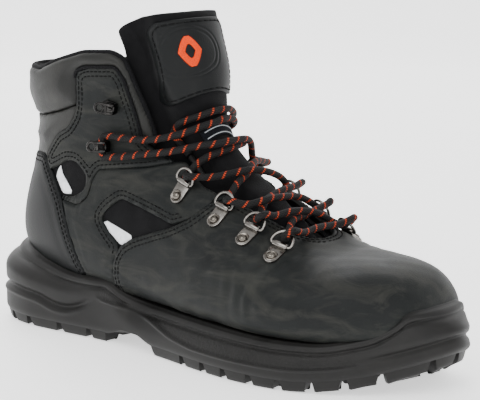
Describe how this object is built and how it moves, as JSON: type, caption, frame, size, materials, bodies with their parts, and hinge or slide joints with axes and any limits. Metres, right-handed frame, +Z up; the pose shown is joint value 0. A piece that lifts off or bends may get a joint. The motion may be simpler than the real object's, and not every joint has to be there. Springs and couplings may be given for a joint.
{
  "type": "steel toe work boot",
  "caption": "Ankle-high laced work boot with a steel toe cap, hinged D-ring and speed-hook lacing, padded collar and tongue, and a lugged rubber sole.",
  "frame": {"origin": "on the ground under the middle of the sole's length and width", "axes": "+X towards the toe, +Y towards the medial (inner) side of this right boot, +Z up"},
  "size_m": [0.304, 0.1084, 0.1816],
  "materials": {
    "nubuck": "matte nubuck with a short nap",
    "smooth_leather": "satin smooth leather",
    "suede": "matte suede-look textile",
    "textile": "matte knitted textile",
    "reflective": "silver-white reflective cloth",
    "steel": "plain pressed steel",
    "fibre_board": "bonded leather and fibre board",
    "rubber": "matte moulded rubber",
    "midsole_foam": "matte moulded polyurethane",
    "nickel": "bright nickel plate",
    "dark_chrome": "dark nickel plate",
    "lace_cord": "round braided cord with a contrasting tracer",
    "lace_tip": "clear-coated black tip"
  },
  "bodies": {
    "boot": {"vamp": "nubuck", "quarter_lateral": "nubuck", "quarter_medial": "nubuck", "ankle_panel_lateral": "nubuck", "ankle_panel_medial": "nubuck", "heel_cap": "smooth_leather", "achilles_panel": "smooth_leather", "collar": "smooth_leather", "window_backing_lateral": "suede", "window_backing_medial": "suede", "tongue": "suede", "gusset_lateral": "suede", "gusset_medial": "suede", "lining": "textile", "footbed": "textile", "tongue_label": "textile", "reflective_low_lateral": "reflective", "reflective_low_medial": "reflective", "reflective_high_lateral": "reflective", "reflective_high_medial": "reflective", "steel_toe_cap": "steel", "shank": "steel", "heel_counter": "fibre_board", "insole_board": "fibre_board", "outsole": "rubber", "midsole": "midsole_foam", "ring_clip_lateral_1": "nickel", "ring_rivet_lateral_1": "nickel", "ring_clip_lateral_2": "nickel", "ring_rivet_lateral_2": "nickel", "ring_clip_lateral_3": "nickel", "ring_rivet_lateral_3": "nickel", "ring_clip_lateral_4": "nickel", "ring_rivet_lateral_4": "nickel", "speed_hook_lateral_1": "dark_chrome", "speed_hook_lateral_2": "dark_chrome", "ring_clip_medial_1": "nickel", "ring_rivet_medial_1": "nickel", "ring_clip_medial_2": "nickel", "ring_rivet_medial_2": "nickel", "ring_clip_medial_3": "nickel", "ring_rivet_medial_3": "nickel", "ring_clip_medial_4": "nickel", "ring_rivet_medial_4": "nickel", "speed_hook_medial_1": "dark_chrome", "speed_hook_medial_2": "dark_chrome", "lace": "lace_cord", "lace_tip_lateral": "lace_tip", "lace_tip_medial": "lace_tip"},
    "tongue_flap": {"tongue_flap": "suede", "tongue_patch": "nubuck"},
    "d_ring_lateral_1": {"d_ring_lateral_1": "nickel"},
    "d_ring_lateral_2": {"d_ring_lateral_2": "nickel"},
    "d_ring_lateral_3": {"d_ring_lateral_3": "nickel"},
    "d_ring_lateral_4": {"d_ring_lateral_4": "nickel"},
    "d_ring_medial_1": {"d_ring_medial_1": "nickel"},
    "d_ring_medial_2": {"d_ring_medial_2": "nickel"},
    "d_ring_medial_3": {"d_ring_medial_3": "nickel"},
    "d_ring_medial_4": {"d_ring_medial_4": "nickel"}
  },
  "joints": [
    {"name": "tongue_fold", "type": "hinge", "parent": "boot", "child": "tongue_flap", "pos_m": [-0.006, 0, 0.135], "axis": [0, 1, 0], "range_deg": [-10, 25], "stiffness_Nm_per_rad": 0.4},
    {"name": "ring_swing_lateral_1", "type": "hinge", "parent": "boot", "child": "d_ring_lateral_1", "pos_m": [0.06876, -0.02975, 0.06849], "axis": [0.9547, 0.1551, -0.2541], "range_deg": [-3, 5]},
    {"name": "ring_swing_lateral_2", "type": "hinge", "parent": "boot", "child": "d_ring_lateral_2", "pos_m": [0.05093, -0.03037, 0.07578], "axis": [0.9489, 0.0689, -0.3078], "range_deg": [-3, 5]},
    {"name": "ring_swing_lateral_3", "type": "hinge", "parent": "boot", "child": "d_ring_lateral_3", "pos_m": [0.03025, -0.02995, 0.08372], "axis": [0.9659, -0.0097, -0.2586], "range_deg": [-3, 5]},
    {"name": "ring_swing_lateral_4", "type": "hinge", "parent": "boot", "child": "d_ring_lateral_4", "pos_m": [0.00248, -0.02931, 0.09341], "axis": [0.9436, -0.0383, -0.329], "range_deg": [-3, 5]},
    {"name": "ring_swing_medial_1", "type": "hinge", "parent": "boot", "child": "d_ring_medial_1", "pos_m": [0.06864, 0.02568, 0.06869], "axis": [-0.9684, 0.1393, 0.2069], "range_deg": [-3, 5]},
    {"name": "ring_swing_medial_2", "type": "hinge", "parent": "boot", "child": "d_ring_medial_2", "pos_m": [0.05093, 0.02545, 0.07589], "axis": [-0.9521, 0.0645, 0.2988], "range_deg": [-3, 5]},
    {"name": "ring_swing_medial_3", "type": "hinge", "parent": "boot", "child": "d_ring_medial_3", "pos_m": [0.03029, 0.025, 0.08376], "axis": [-0.9643, -0.0027, 0.2646], "range_deg": [-3, 5]},
    {"name": "ring_swing_medial_4", "type": "hinge", "parent": "boot", "child": "d_ring_medial_4", "pos_m": [0.00273, 0.02661, 0.09334], "axis": [-0.925, 0.0616, 0.375], "range_deg": [-3, 5]}
  ]
}
